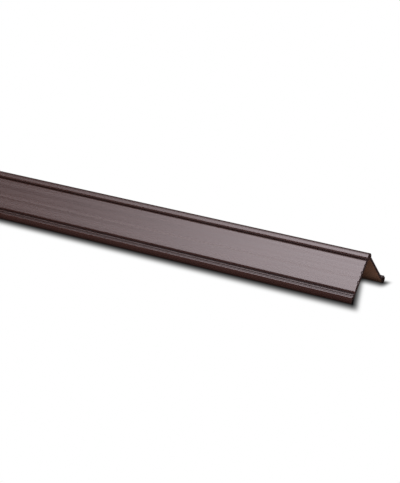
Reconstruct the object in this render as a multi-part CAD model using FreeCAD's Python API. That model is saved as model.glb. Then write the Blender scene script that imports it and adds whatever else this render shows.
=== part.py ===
"""Door sweep: an L-shaped carrier bar for a door's bottom corner, a vinyl blade and its screws.

The bar rests like a tent on the feet of its two legs. X runs along the bar, the face leg leans
towards -Y, the under leg towards +Y, and the corner bead is on top. All sizes in mm.
"""
import FreeCAD
import Part
import math
import os

# ---- driving dimensions ----
BAR_LENGTH = 914.4          # 36 in bar
LEG_ANGLE = 82.0            # between the two legs, in degrees
FACE_REACH = 36.9           # sharp corner to the end of the face leg's toe
UNDER_REACH = 37.7          # sharp corner to the end of the under leg's foot bead
FACE_WALL = 2.6
UNDER_WALL = 2.3
INSIDE_RADIUS = 2.2         # rounding of the inside corner, for the door's edge

CORNER_BEAD_R = 2.65        # flush with the face leg's outer plane
CORNER_BEAD_PROUD = 1.3     # how far it stands out of the under leg's outer plane
UNDER_BEAD_R = 2.6          # the under leg's foot bead is flush with its inner plane
NOSE_R = 0.45               # rounding of the face leg's ridge and toe, joined by a straight bevel
RIDGE_PLACE = 33.3          # the ridge's middle, from the sharp corner
RIDGE_LIFT = 0.5            # height of that middle above the outer plane

PANEL_START = 6.3           # the face leg's flat panel, in distances from the sharp corner
PANEL_END = 26.8
GROOVE_DEPTH = 1.8          # grooves on both sides of the panel, below the outer plane
SHOULDER_R = 1.1            # rounding between the panel and the wall of the groove beside the bead
SHOULDER_ANGLE = 50.0       # that wall's slope, in degrees
SLOPE_R = 3.0               # slow rounding from the panel down into the lower groove
SLOPE_ANGLE = 42.0
GROOVE_FLOOR = 0.1          # width of the lower groove's bottom
REED_R = 0.35               # thin raised line below the lower groove
REED_PLACE = 31.15
QUIRK_R = 0.75              # small groove between the reed and the ridge
QUIRK_LIFT = 0.4
QUIRK_PLACE = 32.22

SEAL_BORE_R = 1.55          # round channel inside the under leg's foot bead
SEAL_SLOT = 1.3             # width of the channel's mouth
SEAL_CORD_R = 1.45          # the vinyl's round root, 0.1 clear of the bore
SEAL_NECK = 0.9
SEAL_CAP_WIDTH = 2.6        # small flange that covers the mouth
SEAL_CAP_THICKNESS = 0.7
SEAL_CAP_GAP = 0.35         # between the bead and the flange
BLADE_ROOT = 1.4            # blade thickness at the flange
BLADE_TIP_R = 0.4
BLADE_HEIGHT = 12.0         # flange to the middle of the tip's rounding
BLADE_LEAN = 2.4            # how far the tip curves towards the corner bead
BLADE_BOW = 0.6             # how far mid-blade stands off the straight line to the tip
SEAL_SET_BACK = 20.0        # trimmed short at each end, clear of the door stops

SCREW_COUNT = 6
SCREW_END_DISTANCE = 38.1   # first screw to the bar's end
SCREW_PLACE = 19.0          # along the under leg, from the sharp corner
SCREW_LENGTH = 15.9         # No. 6 x 5/8 in countersunk wood screw
SCREW_R = 1.75
THREAD_ROOT_R = 1.25
THREAD_PITCH = 1.4
THREAD_VALLEY = (0.3, 0.55) # where a thread's root lies between two crests, in pitches
THREAD_CREST = 0.9
PLAIN_SHANK = 6.0           # depth below the outer plane at which the thread begins
POINT_LENGTH = 2.6
HEAD_SUNK = 0.35            # the head's top below the outer plane
COUNTERSINK_R = 3.5
COUNTERSINK_HALF_ANGLE = 41.0
CLEARANCE_HOLE_R = 1.95
RECESS_WIDTH = 0.9          # arms of the cross recess
RECESS_SPAN = 3.6
RECESS_DEPTH = 1.3

OVERLAP = 1.0               # how far cutting tools reach past what they cut


# ---- places that follow from the sizes ----
# The two roundings that the bar rests on: their middles, along and out from their leg's outer plane.
TOE_S = FACE_REACH - NOSE_R
TOE_H = NOSE_R - FACE_WALL
UNDER_BEAD_S = UNDER_REACH - UNDER_BEAD_R
UNDER_BEAD_H = UNDER_BEAD_R - UNDER_WALL


def resting_lean():
    """The face leg's angle from the vertical, in radians, with the toe and the foot bead on one level."""
    angle = math.radians(LEG_ANGLE)
    a = UNDER_BEAD_S * math.cos(angle) - UNDER_BEAD_H * math.sin(angle) - TOE_S
    b = UNDER_BEAD_S * math.sin(angle) + UNDER_BEAD_H * math.cos(angle) + TOE_H
    size = math.hypot(a, b)
    return math.atan2(b, a) - math.acos((NOSE_R - UNDER_BEAD_R) / size)


FACE_LEAN = resting_lean()
UNDER_LEAN = math.radians(LEG_ANGLE) - FACE_LEAN


def corner_height():
    """Height of the sharp outside corner above the floor."""
    return TOE_S * math.cos(FACE_LEAN) - TOE_H * math.sin(FACE_LEAN) + NOSE_R


CORNER_Z = corner_height()


def face(s, h, x=0.0):
    """The point s along the face leg from the sharp corner and h out from its outer plane."""
    y = -s * math.sin(FACE_LEAN) - h * math.cos(FACE_LEAN)
    z = CORNER_Z - s * math.cos(FACE_LEAN) + h * math.sin(FACE_LEAN)
    return FreeCAD.Vector(x, y - MIDDLE_Y, z)


def under(s, h, x=0.0):
    """The same on the under leg."""
    y = s * math.sin(UNDER_LEAN) + h * math.cos(UNDER_LEAN)
    z = CORNER_Z - s * math.cos(UNDER_LEAN) + h * math.sin(UNDER_LEAN)
    return FreeCAD.Vector(x, y - MIDDLE_Y, z)


CAP_H = UNDER_BEAD_H + UNDER_BEAD_R + SEAL_CAP_GAP
BLADE_H = CAP_H + SEAL_CAP_THICKNESS
TIP_S = UNDER_BEAD_S - BLADE_LEAN
TIP_H = BLADE_H + BLADE_HEIGHT

# Y is measured from the middle of the whole sweep, from ridge or toe to blade tip.
MIDDLE_Y = 0.0
NOSE_Y = min(face(TOE_S, TOE_H).y, face(RIDGE_PLACE, RIDGE_LIFT).y) - NOSE_R
MIDDLE_Y = (NOSE_Y + under(TIP_S, TIP_H).y + BLADE_TIP_R) / 2


def polygon(points):
    return Part.Face(Part.makePolygon(list(points) + [points[0]]))


def outline(edges):
    return Part.Face(Part.Wire([edge.toShape() for edge in edges]))


def disc(centre, radius):
    circle = Part.Circle(centre, FreeCAD.Vector(1, 0, 0), radius)
    return Part.Face(Part.Wire(circle.toShape()))


def corner_bead_offsets():
    """Distances of the corner bead's centre from the sharp corner, along the face leg and the under leg."""
    sine = math.sin(math.radians(LEG_ANGLE))
    return (CORNER_BEAD_R - CORNER_BEAD_PROUD) / sine, CORNER_BEAD_R / sine


def corner_point(along_face, along_under):
    """The point reached by going that far along each leg's direction from the sharp corner."""
    return face(along_face, 0) + under(along_under, 0) - face(0, 0)


def inside_round():
    """The inside corner's rounding: its centre, and its points on the face leg, mid-way and on the under leg."""
    sine = math.sin(math.radians(LEG_ANGLE))
    centre = corner_point((UNDER_WALL + INSIDE_RADIUS) / sine, (FACE_WALL + INSIDE_RADIUS) / sine)
    toward_face = face(0, INSIDE_RADIUS) - face(0, 0)
    toward_under = under(0, INSIDE_RADIUS) - under(0, 0)
    toward_corner = (toward_face + toward_under).normalize() * INSIDE_RADIUS
    return centre, centre + toward_face, centre + toward_corner, centre + toward_under


def corner_filling():
    """Metal behind the inside rounding, out from where the legs' inner planes meet."""
    sine = math.sin(math.radians(LEG_ANGLE))
    centre, on_face, middle, on_under = inside_round()
    return polygon([corner_point(UNDER_WALL / sine, FACE_WALL / sine), on_face, centre, on_under])


def inside_space():
    """The space between the legs, where the door's bottom corner goes."""
    centre, on_face, middle, on_under = inside_round()
    far = FACE_REACH + UNDER_REACH
    return outline([
        Part.Arc(on_face, middle, on_under),
        Part.LineSegment(on_under, under(far, -UNDER_WALL)),
        Part.LineSegment(under(far, -UNDER_WALL), face(far, -FACE_WALL)),
        Part.LineSegment(face(far, -FACE_WALL), on_face),
    ])


def panel_outline(start, end):
    """Edges of the face leg's outer side, from inside the corner bead to the foot of the ridge."""
    shoulder = math.radians(SHOULDER_ANGLE)
    slope = math.radians(SLOPE_ANGLE)

    def on_shoulder(angle):
        return PANEL_START - SHOULDER_R * math.sin(angle), SHOULDER_R * (math.cos(angle) - 1)

    def on_slope(angle):
        return PANEL_END + SLOPE_R * math.sin(angle), SLOPE_R * (math.cos(angle) - 1)

    wall_s, wall_h = on_shoulder(shoulder)
    slope_s, slope_h = on_slope(slope)
    upper_bottom = wall_s - (GROOVE_DEPTH + wall_h) / math.tan(shoulder)
    lower_bottom = slope_s + (GROOVE_DEPTH + slope_h) / math.tan(slope)
    return [
        Part.LineSegment(face(start, -GROOVE_DEPTH), face(upper_bottom, -GROOVE_DEPTH)),
        Part.LineSegment(face(upper_bottom, -GROOVE_DEPTH), face(wall_s, wall_h)),
        Part.Arc(face(wall_s, wall_h), face(*on_shoulder(shoulder / 2)), face(PANEL_START, 0)),
        Part.LineSegment(face(PANEL_START, 0), face(PANEL_END, 0)),
        Part.Arc(face(PANEL_END, 0), face(*on_slope(slope / 2)), face(slope_s, slope_h)),
        Part.LineSegment(face(slope_s, slope_h), face(lower_bottom, -GROOVE_DEPTH)),
        Part.LineSegment(
            face(lower_bottom, -GROOVE_DEPTH), face(lower_bottom + GROOVE_FLOOR, -GROOVE_DEPTH)
        ),
        Part.LineSegment(face(lower_bottom + GROOVE_FLOOR, -GROOVE_DEPTH), face(REED_PLACE, 0)),
        Part.LineSegment(face(REED_PLACE, 0), face(end, 0)),
    ]


def face_leg():
    """Grooved panel with a reed and a quirk below it, then a ridge and a bevel down to the toe."""
    cosine = math.cos(math.radians(LEG_ANGLE))
    along_face, along_under = corner_bead_offsets()
    start = along_face + along_under * cosine
    bevel = math.atan2(RIDGE_LIFT - TOE_H, TOE_S - RIDGE_PLACE)
    out_s = NOSE_R * math.sin(bevel)
    out_h = NOSE_R * math.cos(bevel)
    ridge_side = RIDGE_PLACE - NOSE_R
    ridge_end = face(RIDGE_PLACE + out_s, RIDGE_LIFT + out_h)
    toe_start = face(TOE_S + out_s, TOE_H + out_h)
    plate = outline(panel_outline(start, ridge_side) + [
        Part.LineSegment(face(ridge_side, 0), face(ridge_side, RIDGE_LIFT)),
        Part.Arc(face(ridge_side, RIDGE_LIFT), face(RIDGE_PLACE, RIDGE_LIFT + NOSE_R), ridge_end),
        Part.LineSegment(ridge_end, toe_start),
        Part.Arc(toe_start, face(FACE_REACH, TOE_H), face(TOE_S, -FACE_WALL)),
        Part.LineSegment(face(TOE_S, -FACE_WALL), face(start, -FACE_WALL)),
        Part.LineSegment(face(start, -FACE_WALL), face(start, -GROOVE_DEPTH)),
    ])
    quirk = disc(face(QUIRK_PLACE, QUIRK_LIFT), QUIRK_R)
    return plate.cut(quirk).fuse(disc(face(REED_PLACE, 0), REED_R))


def under_leg():
    """Plain plate with a round bead at its foot."""
    cosine = math.cos(math.radians(LEG_ANGLE))
    along_face, along_under = corner_bead_offsets()
    start = along_under + along_face * cosine
    bead_start = UNDER_BEAD_S - math.sqrt(UNDER_BEAD_R ** 2 - UNDER_BEAD_H ** 2)
    bead_end = under(UNDER_BEAD_S, -UNDER_WALL)
    return outline([
        Part.LineSegment(under(start, 0), under(bead_start, 0)),
        Part.Arc(under(bead_start, 0), under(UNDER_REACH, UNDER_BEAD_H), bead_end),
        Part.LineSegment(bead_end, under(start, -UNDER_WALL)),
        Part.LineSegment(under(start, -UNDER_WALL), under(start, 0)),
    ])


def seal_channel():
    """Round bore in the under leg's foot bead with a slot out through the bead's outer side."""
    slot_top = UNDER_BEAD_H + UNDER_BEAD_R + OVERLAP
    slot = polygon([
        under(UNDER_BEAD_S - SEAL_SLOT / 2, UNDER_BEAD_H),
        under(UNDER_BEAD_S - SEAL_SLOT / 2, slot_top),
        under(UNDER_BEAD_S + SEAL_SLOT / 2, slot_top),
        under(UNDER_BEAD_S + SEAL_SLOT / 2, UNDER_BEAD_H),
    ])
    return slot.fuse(disc(under(UNDER_BEAD_S, UNDER_BEAD_H), SEAL_BORE_R))


def extrude_centred(section, length):
    """A section in the plane x = 0, drawn out along X to the given length about the middle."""
    prisms = [piece.extrude(FreeCAD.Vector(length, 0, 0)) for piece in section.Faces]
    solid = prisms[0].fuse(prisms[1:]).removeSplitter()
    solid.translate(FreeCAD.Vector(-length / 2, 0, 0))
    return solid


def screw_places():
    first = -BAR_LENGTH / 2 + SCREW_END_DISTANCE
    pitch = (BAR_LENGTH - 2 * SCREW_END_DISTANCE) / (SCREW_COUNT - 1)
    return [first + pitch * i for i in range(SCREW_COUNT)]


def turned(profile):
    """Turns (radius, height) points about Z into a solid. Height 0 is the under leg's outer plane."""
    points = [FreeCAD.Vector(r, 0, z) for r, z in profile]
    return polygon(points).revolve(FreeCAD.Vector(), FreeCAD.Vector(0, 0, 1), 360)


def on_under_leg(shape, x):
    """Moves a shape made about Z to the screw line, with its Z along the leg's outward normal."""
    turn = FreeCAD.Rotation(FreeCAD.Vector(1, 0, 0), math.degrees(UNDER_LEAN) - 90)
    placed = shape.copy()
    placed.Placement = FreeCAD.Placement(under(SCREW_PLACE, 0, x), turn)
    return placed


def cone_depth(radius):
    """Depth below the outer plane at which the countersink, and the head in it, has that radius."""
    return HEAD_SUNK + (COUNTERSINK_R - radius) / math.tan(math.radians(COUNTERSINK_HALF_ANGLE))


def screw_hole():
    mouth_r = COUNTERSINK_R + HEAD_SUNK * math.tan(math.radians(COUNTERSINK_HALF_ANGLE))
    return turned([
        (0, OVERLAP),
        (mouth_r, OVERLAP),
        (mouth_r, 0),
        (CLEARANCE_HOLE_R, -cone_depth(CLEARANCE_HOLE_R)),
        (CLEARANCE_HOLE_R, -UNDER_WALL - OVERLAP),
        (0, -UNDER_WALL - OVERLAP),
    ])


def thread_profile(start, end):
    """Sharp ridges one pitch apart, from height start down to height end."""
    points = []
    for i in range(int((start - end) / THREAD_PITCH)):
        top = start - i * THREAD_PITCH
        points += [(THREAD_ROOT_R, top - THREAD_PITCH * part) for part in THREAD_VALLEY]
        points.append((SCREW_R, top - THREAD_PITCH * THREAD_CREST))
    return points


def screw():
    tip = -HEAD_SUNK - SCREW_LENGTH
    profile = [
        (0, -HEAD_SUNK),
        (COUNTERSINK_R, -HEAD_SUNK),
        (SCREW_R, -cone_depth(SCREW_R)),
        (SCREW_R, -PLAIN_SHANK),
    ]
    profile += thread_profile(-PLAIN_SHANK, tip + POINT_LENGTH)
    profile += [(THREAD_ROOT_R, tip + POINT_LENGTH), (0, tip)]
    body = turned(profile)
    arm = Part.makeBox(RECESS_SPAN, RECESS_WIDTH, RECESS_DEPTH + OVERLAP)
    arm.translate(FreeCAD.Vector(-RECESS_SPAN / 2, -RECESS_WIDTH / 2, -HEAD_SUNK - RECESS_DEPTH))
    cross_arm = arm.copy()
    cross_arm.rotate(FreeCAD.Vector(), FreeCAD.Vector(0, 0, 1), 90)
    return body.cut(arm.fuse(cross_arm))


def carrier():
    corner_bead = disc(corner_point(*corner_bead_offsets()), CORNER_BEAD_R)
    section = corner_bead.fuse([corner_filling(), face_leg(), under_leg()])
    section = section.cut(inside_space()).cut(seal_channel())
    bar = extrude_centred(section, BAR_LENGTH)
    return bar.cut([on_under_leg(screw_hole(), x) for x in screw_places()])


def seal_blade():
    """Round root in the channel, neck through its mouth, flange, and a blade that curves to its tip."""
    neck = polygon([
        under(UNDER_BEAD_S - SEAL_NECK / 2, UNDER_BEAD_H),
        under(UNDER_BEAD_S - SEAL_NECK / 2, CAP_H),
        under(UNDER_BEAD_S + SEAL_NECK / 2, CAP_H),
        under(UNDER_BEAD_S + SEAL_NECK / 2, UNDER_BEAD_H),
    ])
    cap = polygon([
        under(UNDER_BEAD_S - SEAL_CAP_WIDTH / 2, CAP_H),
        under(UNDER_BEAD_S - SEAL_CAP_WIDTH / 2, BLADE_H),
        under(UNDER_BEAD_S + SEAL_CAP_WIDTH / 2, BLADE_H),
        under(UNDER_BEAD_S + SEAL_CAP_WIDTH / 2, CAP_H),
    ])
    near = UNDER_BEAD_S - BLADE_ROOT / 2
    far = UNDER_BEAD_S + BLADE_ROOT / 2
    middle_s = (UNDER_BEAD_S + TIP_S) / 2 + BLADE_BOW
    middle_h = (BLADE_H + TIP_H) / 2
    half = (BLADE_ROOT / 2 + BLADE_TIP_R) / 2
    near_side = Part.Arc(
        under(near, BLADE_H), under(middle_s - half, middle_h), under(TIP_S - BLADE_TIP_R, TIP_H)
    )
    tip = Part.Arc(
        under(TIP_S - BLADE_TIP_R, TIP_H), under(TIP_S, TIP_H + BLADE_TIP_R), under(TIP_S + BLADE_TIP_R, TIP_H)
    )
    far_side = Part.Arc(
        under(TIP_S + BLADE_TIP_R, TIP_H), under(middle_s + half, middle_h), under(far, BLADE_H)
    )
    root = Part.LineSegment(under(far, BLADE_H), under(near, BLADE_H))
    blade = outline([near_side, tip, far_side, root])
    cord = disc(under(UNDER_BEAD_S, UNDER_BEAD_H), SEAL_CORD_R)
    return extrude_centred(cord.fuse([neck, cap, blade]), BAR_LENGTH - 2 * SEAL_SET_BACK)


def fixing_screws():
    return Part.makeCompound([on_under_leg(screw(), x) for x in screw_places()])


NODES = {
    "carrier_angle": carrier,
    "seal_blade": seal_blade,
    "fixing_screws": fixing_screws,
}

os.makedirs("parts", exist_ok=True)
for node, build in NODES.items():
    shape = build()
    shape.exportStep("parts/" + node + ".step")
    print(node, len(shape.Solids), "solids, valid", shape.isValid(), "volume", round(shape.Volume))
    print("  box", shape.BoundBox)
print("lean of the legs", round(math.degrees(FACE_LEAN), 2), round(math.degrees(UNDER_LEAN), 2))
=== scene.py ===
"""Door sweep: a dark bronze angle bar with its vinyl seal and fixing screws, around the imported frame.

Sections are drawn in mm, in two directions of each leg: s runs along the leg from the sharp corner,
h out from the leg's outer plane. Meshes, shadows, lights and the camera are in metres.
"""
import bpy
import bmesh
import math
import random
from mathutils import Matrix, Vector

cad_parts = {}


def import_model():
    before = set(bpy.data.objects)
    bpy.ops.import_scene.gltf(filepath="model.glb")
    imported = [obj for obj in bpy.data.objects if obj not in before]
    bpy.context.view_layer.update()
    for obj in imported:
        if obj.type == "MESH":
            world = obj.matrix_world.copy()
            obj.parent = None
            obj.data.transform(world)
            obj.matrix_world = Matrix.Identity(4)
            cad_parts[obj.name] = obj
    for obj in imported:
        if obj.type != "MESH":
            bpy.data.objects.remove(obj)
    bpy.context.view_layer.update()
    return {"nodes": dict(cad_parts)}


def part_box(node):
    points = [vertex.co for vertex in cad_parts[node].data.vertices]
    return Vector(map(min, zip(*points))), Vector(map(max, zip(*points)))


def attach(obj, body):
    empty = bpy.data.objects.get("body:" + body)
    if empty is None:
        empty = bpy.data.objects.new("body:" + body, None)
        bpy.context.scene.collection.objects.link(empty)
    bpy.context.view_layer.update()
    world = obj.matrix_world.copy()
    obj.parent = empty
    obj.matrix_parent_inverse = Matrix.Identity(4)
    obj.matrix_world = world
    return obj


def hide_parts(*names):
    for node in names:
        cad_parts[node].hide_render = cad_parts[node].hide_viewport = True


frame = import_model()

MM = 0.001
SEED = 11
ARC_STEP = math.radians(6)      # longest step of a rounding
SAME_POINT = 1e-4               # points of a section nearer than this are one point
SHARP_ANGLE = math.radians(28)  # edges that turn more than this stay sharp
FACING = 0.6                    # cosine above which a face counts as facing a direction

# ---- the carrier's section ----
LEG_ANGLE = math.radians(82)
FACE_REACH = 36.9
UNDER_REACH = 37.7
FACE_WALL = 2.6
UNDER_WALL = 2.3
INSIDE_RADIUS = 2.2
CORNER_BEAD_R = 2.65
CORNER_BEAD_PROUD = 1.3
UNDER_BEAD_R = 2.6
NOSE_R = 0.45                   # rounding of the face leg's ridge and toe
RIDGE_PLACE = 33.3
RIDGE_LIFT = 0.5
PANEL_START = 6.3
PANEL_END = 26.8
GROOVE_DEPTH = 1.8
SHOULDER_R = 1.1
SHOULDER_ANGLE = math.radians(50)
SLOPE_R = 3.0
SLOPE_ANGLE = math.radians(42)
GROOVE_FLOOR = 0.1
REED_R = 0.35
REED_PLACE = 31.15
QUIRK_R = 0.75
QUIRK_LIFT = 0.4
QUIRK_PLACE = 32.22
SEAL_BORE_R = 1.55
SEAL_SLOT = 1.3
DEBURR = 0.12                   # chamfer left by deburring the saw-cut ends
INSIDE_SLACK = 0.3              # how far behind the inner planes a face still counts as inside
INSIDE_MATERIAL = 1             # its place among the bar's materials

# ---- painted shade ----
GROOVE_SHADE_REACH = 2.5              # surfaces this near each other get painted shade between them
FEET_SHADE_HEIGHT = 4.5                # how far up from the floor painted shade reaches outside
INSIDE_SHADE_HEIGHT = 9.0              # and inside

# ---- the seal's section ----
SEAL_CORD_R = 1.45
SEAL_NECK = 0.9
SEAL_CAP_WIDTH = 2.6
SEAL_CAP_THICKNESS = 0.7
SEAL_CAP_GAP = 0.35
BLADE_ROOT = 1.4
BLADE_TIP_R = 0.4
BLADE_HEIGHT = 12.0
BLADE_LEAN = 2.4
BLADE_BOW = 0.6

# ---- screw holes ----
SCREW_COUNT = 6
SCREW_END_DISTANCE = 38.1
SCREW_PLACE = 19.0
HEAD_SUNK = 0.35
COUNTERSINK_R = 3.5
COUNTERSINK_HALF_ANGLE = math.radians(41)
CLEARANCE_HOLE_R = 1.95
OVERLAP = 1.0                   # how far the cutters reach past what they cut
TURNED_SIDES = 48

# ---- chips at the end of the face leg: (place along the leg, radius) ----
NICKS = (
    (9.0, 0.5), (11.2, 0.45), (14.2, 0.9), (15.1, 0.6),
    (17.6, 0.5), (21.4, 1.0), (22.6, 0.9), (25.0, 0.5),
)
NICK_LIFT = 0.1                 # how far their middles are above the panel
NICK_STRETCH = (0.8, 1.3)       # range of each one's stretch along three axes

UNDER_BEAD_S = UNDER_REACH - UNDER_BEAD_R
UNDER_BEAD_H = UNDER_BEAD_R - UNDER_WALL
TOE_S = FACE_REACH - NOSE_R
TOE_H = NOSE_R - FACE_WALL


# ---- sections: points are (y, z) in mm ----
def resting_lean():
    """The face leg's angle from the vertical when the toe and the foot bead stand on the floor."""
    a = UNDER_BEAD_S * math.cos(LEG_ANGLE) - UNDER_BEAD_H * math.sin(LEG_ANGLE) - TOE_S
    b = UNDER_BEAD_S * math.sin(LEG_ANGLE) + UNDER_BEAD_H * math.cos(LEG_ANGLE) + TOE_H
    return math.atan2(b, a) - math.acos((NOSE_R - UNDER_BEAD_R) / math.hypot(a, b))


FACE_LEAN = resting_lean()
UNDER_LEAN = LEG_ANGLE - FACE_LEAN
FACE_S = Vector((-math.sin(FACE_LEAN), -math.cos(FACE_LEAN)))
FACE_H = Vector((-math.cos(FACE_LEAN), math.sin(FACE_LEAN)))
UNDER_S = Vector((math.sin(UNDER_LEAN), -math.cos(UNDER_LEAN)))
UNDER_H = Vector((math.cos(UNDER_LEAN), math.sin(UNDER_LEAN)))


def sharp_corner():
    """Where the legs' outer planes meet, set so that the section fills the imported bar's box."""
    low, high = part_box("carrier_angle")
    toe = FACE_S * TOE_S + FACE_H * TOE_H
    ridge = FACE_S * RIDGE_PLACE + FACE_H * RIDGE_LIFT
    return Vector((low.y / MM - min(toe.x, ridge.x) + NOSE_R, low.z / MM - toe.y + NOSE_R))


CORNER = sharp_corner()


def face(s, h):
    return CORNER + FACE_S * s + FACE_H * h


def under(s, h):
    return CORNER + UNDER_S * s + UNDER_H * h


def beside(centre, radius, axis_s, axis_h, h):
    """The point of a circle at offset h along axis_h from its centre, on the side that axis_s points to."""
    return centre + axis_s * math.sqrt(radius ** 2 - h ** 2) + axis_h * h


def arc(centre, start, end, turn=1):
    """Points from start to end round centre: turn is 1 for anticlockwise, -1 for clockwise."""
    from_centre = start - centre
    first = math.atan2(from_centre.y, from_centre.x)
    last = math.atan2(end.y - centre.y, end.x - centre.x)
    sweep = (turn * (last - first)) % math.tau
    steps = max(2, math.ceil(sweep / ARC_STEP))
    angles = [first + turn * sweep * i / steps for i in range(steps + 1)]
    return [centre + from_centre.length * Vector((math.cos(a), math.sin(a))) for a in angles]


def arc_through(start, middle, end):
    """Points of the arc from start to end through middle."""
    a = middle - start
    b = end - start
    cross = a.x * b.y - a.y * b.x
    offset = Vector((b.y * a.length_squared - a.y * b.length_squared,
                     a.x * b.length_squared - b.x * a.length_squared)) / (2 * cross)
    return arc(start + offset, start, end, 1 if cross > 0 else -1)


def circles_meet(first, first_r, second, second_r, out):
    """Where two circles cross, on the side that out points to."""
    gap = second - first
    along = (gap.length_squared + first_r ** 2 - second_r ** 2) / (2 * gap.length)
    across = math.sqrt(first_r ** 2 - along ** 2)
    direction = gap.normalized()
    normal = Vector((-direction.y, direction.x))
    if normal.dot(out) < 0:
        normal = -normal
    return first + direction * along + normal * across


def corner_bead_centre():
    sine = math.sin(LEG_ANGLE)
    along_face = FACE_S * (CORNER_BEAD_R - CORNER_BEAD_PROUD) / sine
    along_under = UNDER_S * CORNER_BEAD_R / sine
    return CORNER + along_face + along_under


def panel_side():
    """The face leg's outer side: groove, flat panel, lower groove, reed, quirk, ridge, bevel and toe."""
    shoulder = face(PANEL_START, -SHOULDER_R)
    wall = shoulder + SHOULDER_R * (FACE_H * math.cos(SHOULDER_ANGLE) - FACE_S * math.sin(SHOULDER_ANGLE))
    wall_depth = SHOULDER_R * (1 - math.cos(SHOULDER_ANGLE))
    upper_run = (GROOVE_DEPTH - wall_depth) / math.tan(SHOULDER_ANGLE)
    upper_bottom = face(PANEL_START - SHOULDER_R * math.sin(SHOULDER_ANGLE) - upper_run, -GROOVE_DEPTH)
    points = [upper_bottom] + arc(shoulder, wall, face(PANEL_START, 0))

    slope = face(PANEL_END, -SLOPE_R)
    slope_end = slope + SLOPE_R * (FACE_H * math.cos(SLOPE_ANGLE) + FACE_S * math.sin(SLOPE_ANGLE))
    slope_depth = SLOPE_R * (1 - math.cos(SLOPE_ANGLE))
    lower_run = (GROOVE_DEPTH - slope_depth) / math.tan(SLOPE_ANGLE)
    lower_s = PANEL_END + SLOPE_R * math.sin(SLOPE_ANGLE) + lower_run
    floor_end = face(lower_s + GROOVE_FLOOR, -GROOVE_DEPTH)
    points += arc(slope, face(PANEL_END, 0), slope_end) + [face(lower_s, -GROOVE_DEPTH), floor_end]

    reed = face(REED_PLACE, 0)
    quirk = face(QUIRK_PLACE, QUIRK_LIFT)
    ridge = face(RIDGE_PLACE, RIDGE_LIFT)
    toe = face(TOE_S, TOE_H)
    points += arc(reed, reed + (floor_end - reed).normalized() * REED_R, reed + FACE_S * REED_R)
    quirk_end = circles_meet(quirk, QUIRK_R, ridge, NOSE_R, FACE_H)
    points += arc(quirk, beside(quirk, QUIRK_R, -FACE_S, FACE_H, -QUIRK_LIFT), quirk_end, -1)
    bevel = (toe - ridge).normalized()
    bevel_out = Vector((bevel.y, -bevel.x))
    points += arc(ridge, quirk_end, ridge + bevel_out * NOSE_R)[1:]
    points += arc(toe, toe + bevel_out * NOSE_R, face(TOE_S, -FACE_WALL))
    return points


def foot_bead():
    """The under leg's foot bead with the seal's channel and its mouth."""
    centre = under(UNDER_BEAD_S, UNDER_BEAD_H)
    half = SEAL_SLOT / 2
    mouth_start = beside(centre, UNDER_BEAD_R, UNDER_H, UNDER_S, half)
    points = arc(centre, under(UNDER_BEAD_S, -UNDER_WALL), mouth_start)
    bore_start = beside(centre, SEAL_BORE_R, UNDER_H, UNDER_S, half)
    bore_end = beside(centre, SEAL_BORE_R, UNDER_H, UNDER_S, -half)
    points += arc(centre, bore_start, bore_end, -1)
    mouth_end = beside(centre, UNDER_BEAD_R, UNDER_H, UNDER_S, -half)
    return points + arc(centre, mouth_end, beside(centre, UNDER_BEAD_R, -UNDER_S, UNDER_H, -UNDER_BEAD_H))


def carrier_section():
    """The bar's outline, anticlockwise from where the corner bead leaves the under leg."""
    bead = corner_bead_centre()
    bead_start = beside(bead, CORNER_BEAD_R, UNDER_S, UNDER_H, CORNER_BEAD_R - CORNER_BEAD_PROUD)
    bead_end = beside(bead, CORNER_BEAD_R, FACE_S, FACE_H, CORNER_BEAD_R - GROOVE_DEPTH)
    sine = math.sin(LEG_ANGLE)
    along_face = FACE_S * (UNDER_WALL + INSIDE_RADIUS) / sine
    along_under = UNDER_S * (FACE_WALL + INSIDE_RADIUS) / sine
    inside = CORNER + along_face + along_under
    inner_corner = arc(inside, inside + FACE_H * INSIDE_RADIUS, inside + UNDER_H * INSIDE_RADIUS, -1)
    return arc(bead, bead_start, bead_end) + panel_side() + inner_corner + foot_bead()


def seal_section():
    """Round root, neck, flange and a blade that curves to its tip, anticlockwise."""
    centre = under(UNDER_BEAD_S, UNDER_BEAD_H)
    cap_h = UNDER_BEAD_H + UNDER_BEAD_R + SEAL_CAP_GAP
    blade_h = cap_h + SEAL_CAP_THICKNESS
    tip_s = UNDER_BEAD_S - BLADE_LEAN
    tip_h = blade_h + BLADE_HEIGHT
    middle_s = (UNDER_BEAD_S + tip_s) / 2 + BLADE_BOW
    middle_h = (blade_h + tip_h) / 2
    half_middle = (BLADE_ROOT / 2 + BLADE_TIP_R) / 2
    tip_front = under(tip_s + BLADE_TIP_R, tip_h)
    tip_back = under(tip_s - BLADE_TIP_R, tip_h)

    def cap_side(side):
        neck = UNDER_BEAD_S + side * SEAL_NECK / 2
        edge = UNDER_BEAD_S + side * SEAL_CAP_WIDTH / 2
        return [under(neck, cap_h), under(edge, cap_h), under(edge, blade_h)]

    points = arc(
        centre,
        beside(centre, SEAL_CORD_R, UNDER_H, UNDER_S, -SEAL_NECK / 2),
        beside(centre, SEAL_CORD_R, UNDER_H, UNDER_S, SEAL_NECK / 2),
    )
    points += cap_side(1)
    points += arc_through(
        under(UNDER_BEAD_S + BLADE_ROOT / 2, blade_h),
        under(middle_s + half_middle, middle_h),
        tip_front,
    )
    points += arc(under(tip_s, tip_h), tip_front, tip_back)[1:-1]
    points += arc_through(
        tip_back,
        under(middle_s - half_middle, middle_h),
        under(UNDER_BEAD_S - BLADE_ROOT / 2, blade_h),
    )
    return points + cap_side(-1)[::-1]


# ---- meshes ----
def inset(points, distance):
    """The same outline moved inwards by a small distance."""
    moved = []
    for i, point in enumerate(points):
        before = (point - points[i - 1]).normalized()
        after = (points[(i + 1) % len(points)] - point).normalized()
        inward = Vector((-before.y - after.y, before.x + after.x)).normalized()
        moved.append(point + inward * distance)
    return moved


def without_repeats(points):
    kept = []
    for i, point in enumerate(points):
        if (point - points[i - 1]).length > SAME_POINT:
            kept.append(point)
    return kept


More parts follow.
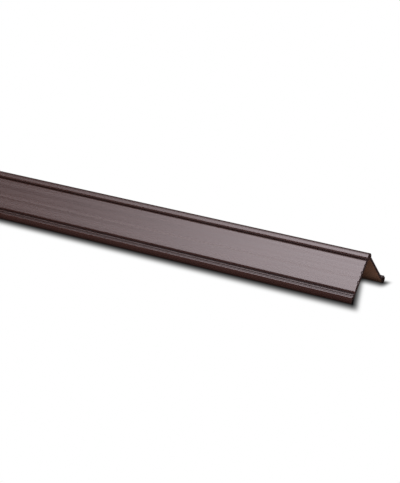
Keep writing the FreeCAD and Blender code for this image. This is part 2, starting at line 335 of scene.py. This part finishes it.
def add_piece(name, bm, body):
    """Makes a piece from a bmesh, riding on a body."""
    mesh = bpy.data.meshes.new(name)
    bm.to_mesh(mesh)
    bm.free()
    piece = bpy.data.objects.new(name, mesh)
    bpy.context.scene.collection.objects.link(piece)
    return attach(piece, body)


def smooth_and_sharp(piece):
    """Smooth roundings, sharp corners, and flat faces that stay flat beside their roundings."""
    mesh = piece.data
    mesh.polygons.foreach_set("use_smooth", [True] * len(mesh.polygons))
    mesh.set_sharp_from_angle(angle=SHARP_ANGLE)
    weighted = piece.modifiers.new("flat_faces_stay_flat", "WEIGHTED_NORMAL")
    weighted.keep_sharp = True
    weighted.weight = 100


def inside_faces(bm):
    """The faces between the legs, where the door goes."""
    planes = (
        (face(PANEL_END, -FACE_WALL) * MM, -FACE_H),
        (under(SCREW_PLACE, -UNDER_WALL) * MM, -UNDER_H),
    )
    found = []
    for side in bm.faces:
        middle = side.calc_center_median().yz
        inwards = [(middle - place).dot(normal) / MM for place, normal in planes]
        facing = [side.normal.yz.dot(normal) for place, normal in planes]
        if -INSIDE_SLACK < min(inwards) < INSIDE_RADIUS and max(facing) > FACING:
            found.append(side)
    return found


def extrusion(section, length, chamfer):
    """A bmesh of a section drawn out along X, with its ends chamfered. Its UVs are lengths in metres."""
    section = without_repeats(section)
    small = inset(section, chamfer)
    around = [0.0]
    for i, point in enumerate(section):
        around.append(around[-1] + (section[(i + 1) % len(section)] - point).length * MM)
    bm = bmesh.new()
    lengths = bm.loops.layers.uv.new("lengths")
    rings = []
    for x, points in (
        (-length / 2, small),
        (-length / 2 + chamfer, section),
        (length / 2 - chamfer, section),
        (length / 2, small),
    ):
        rings.append([bm.verts.new(Vector((x, p.x, p.y)) * MM) for p in points])
    for first, second in zip(rings, rings[1:]):
        for i in range(len(first)):
            after = (i + 1) % len(first)
            side = bm.faces.new([first[i], first[after], second[after], second[i]])
            for loop, place in zip(side.loops, (i, i + 1, i + 1, i)):
                loop[lengths].uv = (loop.vert.co.x, around[place])
    for ring in (rings[0], rings[-1]):
        for loop in bm.faces.new(ring).loops:
            loop[lengths].uv = loop.vert.co.yz
    bmesh.ops.recalc_face_normals(bm, faces=bm.faces)
    return bm


def screw_matrix(x):
    """From a shape made about Z in mm, with Z = 0 on the under leg's outer plane, to the screw at x."""
    place = under(SCREW_PLACE, 0)
    turn = Matrix.Rotation(UNDER_LEAN - math.pi / 2, 4, "X")
    return Matrix.Scale(MM, 4) @ Matrix.Translation((x, place.x, place.y)) @ turn


def turned(bm, profile, matrix):
    """Adds (radius, height) points turned about Z, as a closed solid."""
    rings = []
    for radius, height in profile:
        if radius == 0:
            rings.append([bm.verts.new(matrix @ Vector((0, 0, height)))] * TURNED_SIDES)
            continue
        turns = [math.tau * i / TURNED_SIDES for i in range(TURNED_SIDES)]
        ring = [matrix @ Vector((radius * math.cos(t), radius * math.sin(t), height)) for t in turns]
        rings.append([bm.verts.new(p) for p in ring])
    for first, second in zip(rings, rings[1:]):
        for i in range(TURNED_SIDES):
            corners = [first[i - 1], first[i], second[i], second[i - 1]]
            bm.faces.new(list(dict.fromkeys(corners)))


def cone_depth(radius):
    return HEAD_SUNK + (COUNTERSINK_R - radius) / math.tan(COUNTERSINK_HALF_ANGLE)


def screw_places():
    low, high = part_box("carrier_angle")
    first = low.x / MM + SCREW_END_DISTANCE
    pitch = (high.x - low.x) / MM - 2 * SCREW_END_DISTANCE
    return [first + pitch * i / (SCREW_COUNT - 1) for i in range(SCREW_COUNT)]


def cutter(bm):
    """An object to cut with, made from a bmesh."""
    bmesh.ops.recalc_face_normals(bm, faces=bm.faces)
    mesh = bpy.data.meshes.new("cutter")
    bm.to_mesh(mesh)
    bm.free()
    tool = bpy.data.objects.new("cutter", mesh)
    bpy.context.scene.collection.objects.link(tool)
    return tool


def screw_holes():
    bm = bmesh.new()
    top_r = COUNTERSINK_R + (HEAD_SUNK + OVERLAP) * math.tan(COUNTERSINK_HALF_ANGLE)
    for x in screw_places():
        turned(bm, [
            (0, OVERLAP),
            (top_r, OVERLAP),
            (CLEARANCE_HOLE_R, -cone_depth(CLEARANCE_HOLE_R)),
            (CLEARANCE_HOLE_R, -UNDER_WALL - OVERLAP),
            (0, -UNDER_WALL - OVERLAP),
        ], screw_matrix(x))
    return cutter(bm)


def nicks():
    """Small chips that the saw left along the right-hand end of the face leg, as one cutter each."""
    random_numbers = random.Random(SEED)
    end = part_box("carrier_angle")[1].x
    tools = []
    for s, radius in NICKS:
        place = face(s, NICK_LIFT)
        stretch = [random_numbers.uniform(*NICK_STRETCH) for axis in range(3)]
        where = Matrix.Translation((end, place.x * MM, place.y * MM))
        shape = Matrix.Diagonal((*[radius * MM * k for k in stretch], 1))
        spin = Matrix.Rotation(random_numbers.uniform(0, math.tau), 4, "X")
        bm = bmesh.new()
        bmesh.ops.create_icosphere(bm, subdivisions=2, radius=1, matrix=where @ spin @ shape)
        tools.append(cutter(bm))
    return tools


def cut(piece, tool):
    """Cuts the tool's shape out of a piece for good, and removes the tool."""
    boolean = piece.modifiers.new("cut", "BOOLEAN")
    boolean.operation = "DIFFERENCE"
    boolean.solver = "EXACT"
    boolean.object = tool
    bpy.context.view_layer.update()
    evaluated = piece.evaluated_get(bpy.context.evaluated_depsgraph_get())
    mesh = bpy.data.meshes.new_from_object(evaluated)
    piece.modifiers.remove(boolean)
    piece.data = mesh
    bpy.data.objects.remove(tool)


def carrier():
    low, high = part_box("carrier_angle")
    bm = extrusion(carrier_section(), (high.x - low.x) / MM, DEBURR)
    for side in inside_faces(bm):
        side.material_index = INSIDE_MATERIAL
    piece = add_piece("bar_extrusion", bm, "bar")
    add_materials(piece, bronze_material(), inside_material())
    for tool in (screw_holes(), *nicks()):
        cut(piece, tool)
    smooth_and_sharp(piece)
    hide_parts("carrier_angle")
    return piece


def seal():
    low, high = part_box("seal_blade")
    bm = extrusion(seal_section(), (high.x - low.x) / MM, DEBURR / 2)
    piece = add_piece("seal_strip", bm, "seal")
    add_materials(piece, vinyl_material())
    smooth_and_sharp(piece)
    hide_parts("seal_blade")
    return piece


# ---- materials ----
class Nodes:
    """A material's node tree, with short ways to add and join nodes."""

    def __init__(self, name):
        self.material = bpy.data.materials.new(name)
        self.material.use_nodes = True
        self.tree = self.material.node_tree
        self.shader = self.tree.nodes["Principled BSDF"]

    def add(self, kind, **settings):
        node = self.tree.nodes.new(kind)
        for name, value in settings.items():
            setattr(node, name, value)
        return node

    def join(self, source, target):
        self.tree.links.new(source, target)

    def stretched(self, scale, source):
        """Object or UV coordinates, both in metres, times a scale for each axis."""
        mapping = self.add("ShaderNodeMapping")
        mapping.inputs["Scale"].default_value = scale
        self.join(self.add("ShaderNodeTexCoord").outputs[source], mapping.inputs["Vector"])
        return mapping.outputs["Vector"]

    def noise(self, scale, detail=3.0, source="Object"):
        noise = self.add("ShaderNodeTexNoise")
        noise.inputs["Scale"].default_value = 1.0
        noise.inputs["Detail"].default_value = detail
        self.join(self.stretched(scale, source), noise.inputs["Vector"])
        return noise.outputs["Fac"]

    def ramp(self, value, stops):
        """A colour ramp from (place, colour) stops."""
        ramp = self.add("ShaderNodeValToRGB")
        elements = ramp.color_ramp.elements
        for element, (place, colour) in zip(elements, (stops[0], stops[-1])):
            element.position = place
            element.color = (*colour, 1)
        for place, colour in stops[1:-1]:
            elements.new(place).color = (*colour, 1)
        self.join(value, ramp.inputs["Fac"])
        return ramp.outputs["Color"]

    def between(self, value, low, high, from_low=0.3, from_high=0.7):
        """Maps a value's range, or where most of a noise lies, to another one."""
        remap = self.add("ShaderNodeMapRange")
        remap.inputs["From Min"].default_value = from_low
        remap.inputs["From Max"].default_value = from_high
        remap.inputs["To Min"].default_value = low
        remap.inputs["To Max"].default_value = high
        self.join(value, remap.inputs["Value"])
        return remap.outputs["Result"]

    def rising(self, low, top):
        """A shade that rises from low on the floor to 1 at the height top, in mm."""
        place = self.add("ShaderNodeSeparateXYZ")
        self.join(self.add("ShaderNodeTexCoord").outputs["Object"], place.inputs["Vector"])
        return self.between(place.outputs["Z"], low, 1.0, 0, top * MM)

    def scaled(self, colour, factor):
        scale = self.add("ShaderNodeVectorMath", operation="SCALE")
        self.join(colour, scale.inputs["Vector"])
        self.join(factor, scale.inputs["Scale"])
        return scale.outputs["Vector"]

    def math(self, operation, first, second):
        node = self.add("ShaderNodeMath", operation=operation)
        for value, socket in zip((first, second), node.inputs):
            if isinstance(value, (int, float)):
                socket.default_value = value
            else:
                self.join(value, socket)
        return node.outputs["Value"]

    def bump(self, height, distance, strength=1.0, after=None):
        bump = self.add("ShaderNodeBump")
        bump.inputs["Strength"].default_value = strength
        bump.inputs["Distance"].default_value = distance
        self.join(height, bump.inputs["Height"])
        if after is not None:
            self.join(after, bump.inputs["Normal"])
        return bump.outputs["Normal"]

    def end_faces(self):
        """1 on the saw-cut ends, 0 elsewhere."""
        split = self.add("ShaderNodeSeparateXYZ")
        self.join(self.add("ShaderNodeNewGeometry").outputs["True Normal"], split.inputs["Vector"])
        size = self.math("ABSOLUTE", split.outputs["X"], 0)
        return self.math("GREATER_THAN", size, FACING)


def bronze_material():
    """Dark bronze anodised: die lines along X, saw marks on the ends, and painted shade in grooves, towards
    the floor and on the ends.
    """
    nodes = Nodes("dark_bronze_anodised")
    shader = nodes.shader.inputs
    shader["IOR"].default_value = 2.6
    shader["Specular Tint"].default_value = (1.0, 0.92, 0.98, 1)
    shader["Anisotropic"].default_value = 0.8
    tangent = nodes.add("ShaderNodeTangent", direction_type="UV_MAP", uv_map="lengths")
    nodes.join(tangent.outputs["Tangent"], shader["Tangent"])

    broad = nodes.noise((0.6, 300, 1), detail=2, source="UV")
    fine = nodes.noise((1.0, 1300, 1), detail=1, source="UV")
    clouds = nodes.noise((25, 60, 60), detail=4)
    saw = nodes.noise((300, 350, 2600), detail=2)
    ends = nodes.end_faces()

    tone = nodes.math("ADD", nodes.math("MULTIPLY", broad, 0.6), nodes.math("MULTIPLY", clouds, 0.4))
    colour = nodes.ramp(tone, [
        (0.3, (0.053, 0.018, 0.013)),
        (0.5, (0.064, 0.022, 0.016)),
        (0.7, (0.075, 0.026, 0.019)),
    ])
    # Painted shade in the grooves: darker where the bar's own surfaces are near each other.
    hollows = nodes.add("ShaderNodeAmbientOcclusion", samples=16, only_local=True)
    hollows.inputs["Distance"].default_value = GROOVE_SHADE_REACH * MM
    unshaded = nodes.between(hollows.outputs["AO"], 0.3, 1.0, 0.45, 0.95)
    # Painted shade towards the floor, where the feet stand.
    unshaded = nodes.math("MULTIPLY", unshaded, nodes.rising(0.35, FEET_SHADE_HEIGHT))
    # Painted shade on the saw-cut ends as well, which halves their colour and specular level.
    shade = nodes.math("MULTIPLY", unshaded, nodes.between(ends, 1.0, 0.5, 0, 1))
    nodes.join(nodes.scaled(colour, shade), shader["Base Color"])
    nodes.join(nodes.math("MULTIPLY", shade, 0.5), shader["Specular IOR Level"])

    roughness = nodes.math("ADD", nodes.between(broad, 0.22, 0.28), nodes.between(fine, -0.02, 0.02))
    nodes.join(nodes.math("ADD", roughness, nodes.math("MULTIPLY", ends, 0.25)), shader["Roughness"])
    nodes.join(nodes.bump(nodes.math("MULTIPLY", saw, ends), 0.00012, 0.7), shader["Normal"])
    return nodes.material


def inside_material():
    """The bar's inside, duller, with coarse die lines; its colour is painted lighter and browner than the
    outside's for light bounced inside, and painted darker towards the floor as shade.
    """
    nodes = Nodes("dull_bronze_inside")
    shader = nodes.shader.inputs
    shader["IOR"].default_value = 1.5
    lines = nodes.noise((3, 500, 1), detail=2, source="UV")
    clouds = nodes.noise((60, 150, 150), detail=5)
    tone = nodes.math("ADD", nodes.math("MULTIPLY", lines, 0.4), nodes.math("MULTIPLY", clouds, 0.6))
    # Painted light: this base is lighter and browner than the outside's, standing in for light bounced
    # between the legs.
    colour = nodes.ramp(tone, [
        (0.3, (0.118, 0.046, 0.020)),
        (0.5, (0.143, 0.057, 0.026)),
        (0.7, (0.168, 0.068, 0.032)),
    ])
    # Painted shade towards the floor.
    nodes.join(nodes.scaled(colour, nodes.rising(0.45, INSIDE_SHADE_HEIGHT)), shader["Base Color"])
    nodes.join(nodes.between(clouds, 0.5, 0.7), shader["Roughness"])
    nodes.join(nodes.bump(tone, 0.0001, 0.4), shader["Normal"])
    return nodes.material


def vinyl_material():
    """Flexible dark brown vinyl with extrusion lines and a slight orange peel."""
    nodes = Nodes("dark_brown_vinyl")
    shader = nodes.shader.inputs
    shader["IOR"].default_value = 1.5
    shader["Specular Tint"].default_value = (1.0, 0.97, 0.95, 1)
    lines = nodes.noise((2, 1500, 1500), detail=2)
    peel = nodes.noise((900, 900, 900), detail=3)
    clouds = nodes.noise((30, 120, 120), detail=3)
    colour = nodes.ramp(clouds, [(0.3, (0.020, 0.015, 0.013)), (0.7, (0.034, 0.027, 0.023))])
    nodes.join(colour, shader["Base Color"])
    nodes.join(nodes.between(lines, 0.46, 0.62), shader["Roughness"])
    grain = nodes.bump(peel, 0.00004, 0.5)
    nodes.join(nodes.bump(lines, 0.00002, 0.6, grain), shader["Normal"])
    return nodes.material


def screw_material():
    """Bronze-plated steel: turning marks, and a plating that varies a little."""
    nodes = Nodes("bronze_plated_steel")
    shader = nodes.shader.inputs
    shader["Metallic"].default_value = 1.0
    shader["Anisotropic"].default_value = 0.3
    plating = nodes.noise((400, 400, 400), detail=4)
    marks = nodes.noise((1500, 3000, 3000), detail=2)
    colour = nodes.ramp(plating, [(0.3, (0.10, 0.072, 0.058)), (0.7, (0.17, 0.125, 0.10))])
    nodes.join(colour, shader["Base Color"])
    nodes.join(nodes.between(plating, 0.28, 0.46), shader["Roughness"])
    nodes.join(nodes.bump(marks, 0.00002, 0.4), shader["Normal"])
    return nodes.material


def add_materials(piece, *materials):
    for material in materials:
        piece.data.materials.append(material)


# ---- the studio ----
CAMERA_AZIMUTH = math.radians(33.7)
CAMERA_ELEVATION = math.radians(20.5)
CAMERA_LENS = 109.54            # focal length in mm
CAMERA_DISTANCE = 0.9847
CAMERA_REACH = 30
VIEW_LEFT = 0.1138              # how far the picture's middle is to the left of the bead's end
VIEW_UP = 0.0080                # and above it
FLOOR_HALF = 6.0
WORLD_LIGHT = 0.03

# How far the bar's soft shadow, painted on the floor, reaches: in front of each leg's foot, behind the bar
# and past its ends.
SHADOW_FACE = 0.0145
SHADOW_UNDER = 0.0125
SHADOW_BACK = 0.007
SHADOW_SIDE = 0.0068
SHADOW_SHIFT = 0.0006           # how far past the right-hand end the toe's full shadow goes
SHADOW_LEAN = math.radians(23.8)        # how far the end of that shadow leans away from Y
SHADOW_EDGE = (                 # (part of the way out, how dark the shadow is there)
    (0.0, 1.0),
    (0.11, 0.95),
    (0.22, 0.89),
    (0.33, 0.80),
    (0.44, 0.65),
    (0.55, 0.47),
    (0.66, 0.28),
    (0.77, 0.12),
    (0.88, 0.04),
    (1.0, 0.0),
)

# Lamps along the bar: name, left and right end, then in degrees the elevation from the front horizon
# over the bar and half the spread, and radiance.
LAMP_DISTANCE = 1.5
SOFTBOXES = (
    ("softbox_over", -0.6, 0.8, 87, 13, 0.9),
    ("softbox_top", -0.6, 0.8, 54.5, 19.5, 1.8),
    ("softbox_front", -0.6, 0.8, 18, 17, 1.75),
    ("softbox_rear_top", -0.8, 0.8, 109, 14, 0.3),
    ("softbox_back", -0.8, 0.8, 171, 9, 0.35),
    ("softbox_rear_right", 0.7, 2.3, 120, 17, 1.4),
)
END_LAMP_AZIMUTH = math.radians(42)
END_LAMP_HEIGHT = 0.05
END_LAMP_SIZE = 0.6
END_LAMP_RADIANCE = 1.8


def camera():
    """Looks from the right and a little above at the bar's right-hand end."""
    side = Vector((math.cos(CAMERA_AZIMUTH), math.sin(CAMERA_AZIMUTH), 0))
    back = Vector((
        math.sin(CAMERA_AZIMUTH) * math.cos(CAMERA_ELEVATION),
        -math.cos(CAMERA_AZIMUTH) * math.cos(CAMERA_ELEVATION),
        math.sin(CAMERA_ELEVATION),
    ))
    up = back.cross(side)
    bead = corner_bead_centre() * MM
    end_top = Vector((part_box("carrier_angle")[1].x, bead.x, bead.y + CORNER_BEAD_R * MM))
    target = end_top - side * VIEW_LEFT + up * VIEW_UP
    data = bpy.data.cameras.new("camera")
    data.lens = CAMERA_LENS
    data.clip_end = CAMERA_REACH
    seen = bpy.data.objects.new("camera", data)
    bpy.context.scene.collection.objects.link(seen)
    rotation = Matrix((side, up, back)).transposed().to_4x4()
    seen.matrix_world = Matrix.Translation(target + back * CAMERA_DISTANCE) @ rotation
    bpy.context.scene.camera = seen


def floor_material():
    """Evenly bright pale paper, with the bar's soft shadow painted on it."""
    nodes = Nodes("pale_floor")
    place = nodes.add("ShaderNodeTexCoord").outputs["Object"]

    def darkness(x, y, edge, width):
        """1 in the shadow, falling to 0 in that width beyond the edge, towards (x, y) on the floor."""
        distance = nodes.add("ShaderNodeVectorMath", operation="DOT_PRODUCT")
        distance.inputs[1].default_value = (x, y, 0)
        nodes.join(place, distance.inputs[0])
        beyond = nodes.between(distance.outputs["Value"], 0, 1, edge, edge + width)
        return nodes.ramp(beyond, [(part, (dark, dark, dark)) for part, dark in SHADOW_EDGE])

    def product(first, *others):
        for other in others:
            first = nodes.math("MULTIPLY", first, other)
        return first

    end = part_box("carrier_angle")[1].x
    toe = face(TOE_S, TOE_H).x * MM
    foot = under(UNDER_BEAD_S, UNDER_BEAD_H).x * MM
    across = (math.cos(SHADOW_LEAN), math.sin(SHADOW_LEAN))
    behind = darkness(0, 1, foot, SHADOW_BACK)
    left = darkness(-1, 0, end, SHADOW_SIDE)
    of_face = product(
        darkness(0, -1, -toe, SHADOW_FACE),
        darkness(*across, (end + SHADOW_SHIFT) * across[0] + toe * across[1], SHADOW_SIDE),
        behind,
        left,
    )
    of_under = product(
        darkness(0, -1, -foot, SHADOW_UNDER),
        darkness(1, 0, end, SHADOW_SIDE),
        behind,
        left,
    )
    light = product(nodes.math("SUBTRACT", 1, of_face), nodes.math("SUBTRACT", 1, of_under))
    paper = nodes.add("ShaderNodeEmission")
    nodes.join(light, paper.inputs["Color"])
    nodes.join(paper.outputs["Emission"], nodes.tree.nodes["Material Output"].inputs["Surface"])
    return nodes.material


def floor():
    mesh = bpy.data.meshes.new("floor")
    corners = [(-1, -1), (1, -1), (1, 1), (-1, 1)]
    mesh.from_pydata([(x * FLOOR_HALF, y * FLOOR_HALF, 0) for x, y in corners], [], [(0, 1, 2, 3)])
    plane = bpy.data.objects.new("floor", mesh)
    bpy.context.scene.collection.objects.link(plane)
    mesh.materials.append(floor_material())
    plane.visible_glossy = False


def softbox(name, centre, aim, width, height, radiance, pieces):
    """A rectangular lamp at centre that faces aim, shows that radiance and lights only the pieces."""
    data = bpy.data.lights.new(name, "AREA")
    data.shape = "RECTANGLE"
    data.size = width
    data.size_y = height
    data.energy = radiance * math.pi * width * height
    lamp = bpy.data.objects.new(name, data)
    bpy.context.scene.collection.objects.link(lamp)
    rotation = (centre - aim).to_track_quat("Z", "Y").to_matrix().to_4x4()
    lamp.matrix_world = Matrix.Translation(centre) @ rotation
    lit = bpy.data.collections.new("lit_by_" + name)
    for piece in pieces:
        lit.objects.link(piece)
    lamp.light_linking.receiver_collection = lit


def world():
    """White to the camera, dim grey as light."""
    made = bpy.data.worlds.new("studio")
    made.use_nodes = True
    tree = made.node_tree
    dim = tree.nodes["Background"]
    dim.inputs["Color"].default_value = (1, 1, 1, 1)
    dim.inputs["Strength"].default_value = WORLD_LIGHT
    white = tree.nodes.new("ShaderNodeBackground")
    white.inputs["Strength"].default_value = 1.0
    white.inputs["Color"].default_value = (1, 1, 1, 1)
    mix = tree.nodes.new("ShaderNodeMixShader")
    path = tree.nodes.new("ShaderNodeLightPath")
    tree.links.new(path.outputs["Is Camera Ray"], mix.inputs["Fac"])
    tree.links.new(dim.outputs["Background"], mix.inputs[1])
    tree.links.new(white.outputs["Background"], mix.inputs[2])
    tree.links.new(mix.outputs["Shader"], tree.nodes["World Output"].inputs["Surface"])
    bpy.context.scene.world = made


def studio(pieces):
    floor()
    world()
    camera()
    bpy.context.scene.view_settings.view_transform = "Standard"
    for name, left, right, elevation, spread, radiance in SOFTBOXES:
        elevation = math.radians(elevation)
        centre = LAMP_DISTANCE * Vector((0, -math.cos(elevation), math.sin(elevation)))
        centre.x = (left + right) / 2
        height = 2 * LAMP_DISTANCE * math.tan(math.radians(spread))
        softbox(name, centre, Vector((centre.x, 0, 0)), right - left, height, radiance, pieces)
    end = Vector((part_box("carrier_angle")[1].x, 0, 0))
    centre = end + Vector((math.sin(END_LAMP_AZIMUTH), -math.cos(END_LAMP_AZIMUTH), END_LAMP_HEIGHT))
    softbox("softbox_end", centre, end, END_LAMP_SIZE, END_LAMP_SIZE, END_LAMP_RADIANCE, pieces)


bar = carrier()
strip = seal()
screws = frame["nodes"]["fixing_screws"]
screws.material_slots[0].material = screw_material()
studio([bar, strip, screws])
